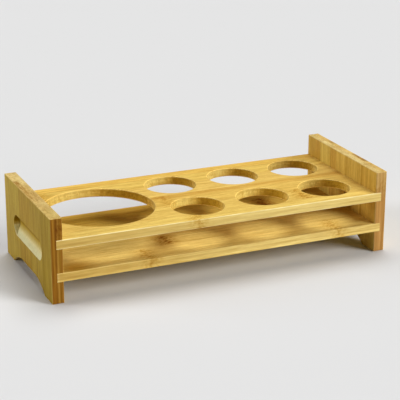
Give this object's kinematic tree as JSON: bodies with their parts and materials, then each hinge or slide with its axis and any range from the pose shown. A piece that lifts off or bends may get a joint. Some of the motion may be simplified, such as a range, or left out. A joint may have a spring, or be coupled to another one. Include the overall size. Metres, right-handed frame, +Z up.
{
  "type": "two-tier bottle and glass rack",
  "caption": "Low two-tier bamboo serving rack: an upper shelf pierced for a bottle and small glasses over a plain lower shelf, let into arched end panels with finger recesses.",
  "frame": {"origin": "centre of the footprint, on the table under the feet", "axes": "+X along the rack from the bottle hole towards the glass holes, +Y from front to back, +Z up"},
  "size_m": [0.36, 0.148, 0.086],
  "materials": {
    "bamboo_panel_left": "carbonised laminated bamboo, grain upright, satin lacquer",
    "bamboo_panel_right": "carbonised laminated bamboo, grain upright, satin lacquer",
    "bamboo_shelf_upper": "pale laminated bamboo, grain lengthwise, satin lacquer",
    "bamboo_shelf_lower": "pale laminated bamboo, grain lengthwise, satin lacquer"
  },
  "bodies": {
    "root": {"left_end_panel": "bamboo_panel_left", "right_end_panel": "bamboo_panel_right", "upper_shelf": "bamboo_shelf_upper", "lower_shelf": "bamboo_shelf_lower"}
  },
  "joints": []
}
